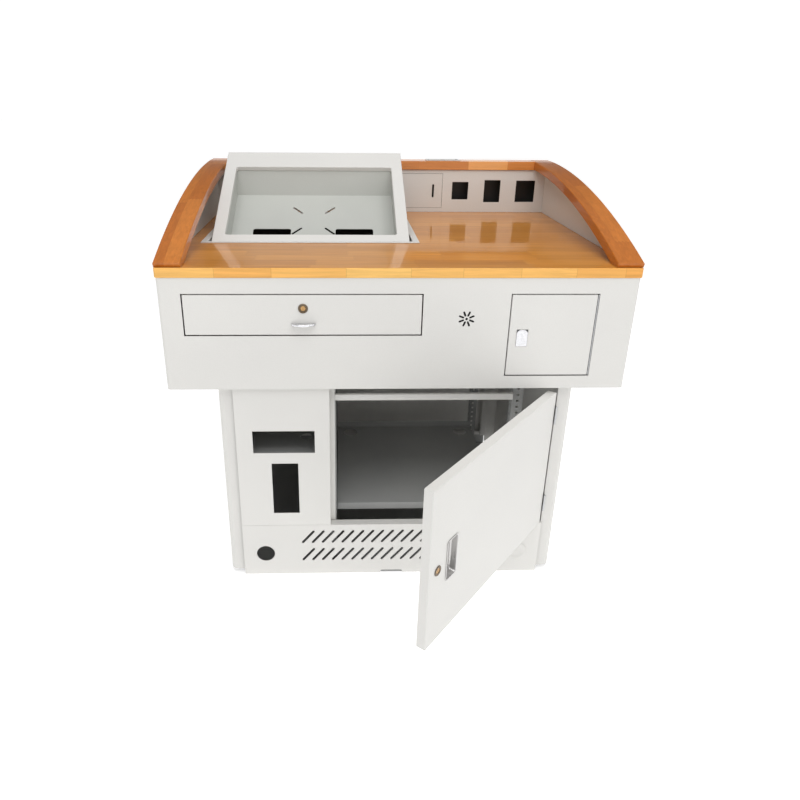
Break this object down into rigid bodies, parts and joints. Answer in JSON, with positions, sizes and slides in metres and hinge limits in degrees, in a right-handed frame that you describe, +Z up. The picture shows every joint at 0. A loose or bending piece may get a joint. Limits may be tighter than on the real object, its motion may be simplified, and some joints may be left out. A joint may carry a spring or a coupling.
{
  "type": "multimedia podium counter",
  "caption": "Free-standing sheet-steel podium counter with a board worktop, wooden arm rails, a tilting monitor frame, a keyboard drawer, a side door and an equipment bay behind a hinged door.",
  "frame": {"origin": "middle of the lower cabinet's footprint, on the floor", "axes": "+X to the right of someone facing the front, +Y to the back, +Z up"},
  "size_m": [1.05, 1.1655, 1.0008],
  "materials": {
    "steel_paint": "fine-textured warm off-white powder coat",
    "inner_paint": "the same powder coat, on pieces inside",
    "board": "finger-jointed blocks under gloss varnish",
    "rail_wood": "bent wood with orange-brown gloss varnish",
    "zinc": "zinc-plated steel",
    "chrome": "polished chrome plate",
    "brass": "brass lock plug in a dark barrel",
    "black_plastic": "moulded black plastic"
  },
  "bodies": {
    "cabinet": {"base_pan": "inner_paint", "vent_panel": "steel_paint", "cable_hole_cap": "steel_paint", "left_side_panel": "steel_paint", "right_side_panel": "steel_paint", "left_front_panel": "steel_paint", "left_bay_shelf": "inner_paint", "door_jamb": "steel_paint", "door_sill": "steel_paint", "bay_divider": "inner_paint", "rack_post_front_left": "inner_paint", "rack_post_front_right": "inner_paint", "rack_post_rear_left": "inner_paint", "rack_post_rear_right": "inner_paint", "equipment_shelf": "inner_paint", "cross_rail": "steel_paint", "main_door_pin_lower": "zinc", "main_door_pin_upper": "zinc", "rear_door_pin": "zinc", "rear_header": "steel_paint", "upper_bottom_pan": "inner_paint", "upper_front_panel": "steel_paint", "speaker": "black_plastic", "left_upper_side": "steel_paint", "right_upper_side": "steel_paint", "upper_back_panel": "steel_paint", "left_wing_liner": "steel_paint", "right_wing_liner": "steel_paint", "riser_wall": "steel_paint", "riser_hatch_pin": "zinc", "drawer_slide_left": "zinc", "drawer_slide_right": "zinc", "side_compartment": "inner_paint", "side_door_pin": "zinc", "worktop": "board", "left_rail": "rail_wood", "right_rail": "rail_wood", "back_rail": "rail_wood", "microphone_plate": "steel_paint", "monitor_trim": "steel_paint", "monitor_hinge_left": "zinc", "monitor_hinge_right": "zinc"},
    "main_door": {"main_door": "steel_paint", "door_cup": "zinc"},
    "door_lock_cam": {"door_lock": "brass"},
    "drawer": {"drawer_front": "steel_paint", "drawer_tray": "inner_paint", "drawer_pull": "zinc", "drawer_runner_left": "zinc", "drawer_runner_right": "zinc"},
    "drawer_lock_cam": {"drawer_lock": "brass"},
    "side_door": {"side_door": "steel_paint"},
    "side_latch": {"side_door_latch": "chrome"},
    "riser_hatch": {"riser_hatch": "steel_paint"},
    "monitor_frame": {"monitor_bezel": "steel_paint", "monitor_tray": "inner_paint"},
    "rear_door": {"rear_door": "steel_paint"},
    "rear_lock_cam": {"rear_door_lock": "brass"}
  },
  "joints": [
    {"name": "main_door_hinge", "type": "hinge", "parent": "cabinet", "child": "main_door", "pos_m": [0.3765, -0.343, 0], "axis": [0, 0, 1], "range_deg": [-49.9, 60.1]},
    {"name": "door_lock_turn", "type": "hinge", "parent": "main_door", "child": "door_lock_cam", "pos_m": [0.05131, -0.72452, 0.3306], "axis": [-0.7649, 0.6441, 0], "range_deg": [0, 90]},
    {"name": "drawer_slide", "type": "slide", "parent": "cabinet", "child": "drawer", "axis": [0, -1, 0], "range_m": [0, 0.35]},
    {"name": "drawer_lock_turn", "type": "hinge", "parent": "drawer", "child": "drawer_lock_cam", "pos_m": [-0.211, -0.348, 0.7255], "axis": [0, -1, 0], "range_deg": [0, 90]},
    {"name": "side_door_hinge", "type": "hinge", "parent": "cabinet", "child": "side_door", "pos_m": [0.436, -0.3467, 0], "axis": [0, 0, 1], "range_deg": [0, 110]},
    {"name": "side_door_latch_pull", "type": "hinge", "parent": "side_door", "child": "side_latch", "pos_m": [0.275, -0.3488, 0.6754], "axis": [-1, 0, 0], "range_deg": [0, 35], "stiffness_Nm_per_rad": 0.05},
    {"name": "riser_hatch_hinge", "type": "hinge", "parent": "cabinet", "child": "riser_hatch", "pos_m": [-0.038, 0.36275, 0], "axis": [0, 0, -1], "range_deg": [0, 65]},
    {"name": "monitor_tilt", "type": "hinge", "parent": "cabinet", "child": "monitor_frame", "pos_m": [-0.203, -0.079, 0.8118], "axis": [1, 0, 0], "range_deg": [-28.1, 31.9]},
    {"name": "rear_door_hinge", "type": "hinge", "parent": "cabinet", "child": "rear_door", "pos_m": [0.37525, 0.337, 0], "axis": [0, 0, -1], "range_deg": [0, 110]},
    {"name": "rear_door_lock_turn", "type": "hinge", "parent": "rear_door", "child": "rear_lock_cam", "pos_m": [-0.347, 0.34, 0.2815], "axis": [0, 1, 0], "range_deg": [0, 90]}
  ]
}
